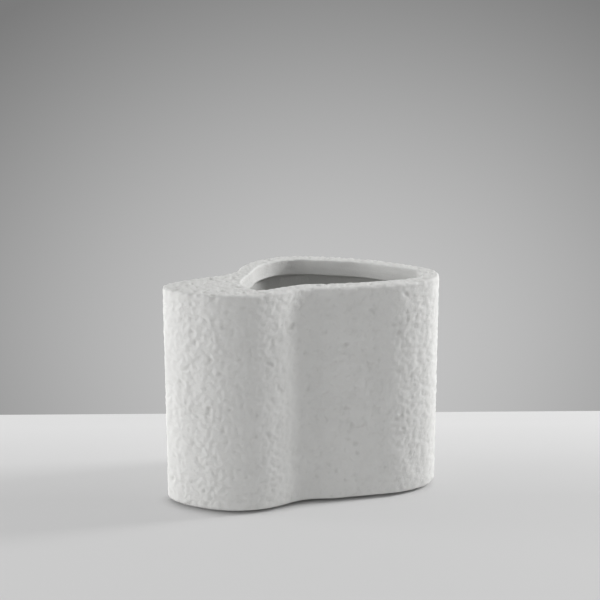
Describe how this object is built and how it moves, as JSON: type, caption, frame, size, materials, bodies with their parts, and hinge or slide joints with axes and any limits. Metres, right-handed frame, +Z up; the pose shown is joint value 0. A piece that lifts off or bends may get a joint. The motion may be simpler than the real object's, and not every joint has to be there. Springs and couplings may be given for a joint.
{
  "type": "vase",
  "caption": "Upright two-lobed cast resin vase with straight walls, a long curved mouth over the large lobe and a closed deck over the small one.",
  "frame": {"origin": "middle of the footprint's box, on the surface that the foot pads stand on", "axes": "+X along both lobes, towards the open large lobe; +Y from the small lobe's front towards the large lobe's back; +Z up"},
  "size_m": [0.214, 0.118, 0.175],
  "materials": {
    "cast_resin": "matt off-white with a rough sandy cast texture, smoother inside the lip",
    "base_resin": "matt off-white, flat and fine-grained",
    "foot_rubber": "matt dark grey"
  },
  "bodies": {
    "root": {"outer_wall": "cast_resin", "top_plate": "cast_resin", "base_plate": "base_resin", "foot_pad_1": "foot_rubber", "foot_pad_2": "foot_rubber", "foot_pad_3": "foot_rubber", "foot_pad_4": "foot_rubber", "foot_pad_5": "foot_rubber", "foot_pad_6": "foot_rubber"}
  },
  "joints": []
}
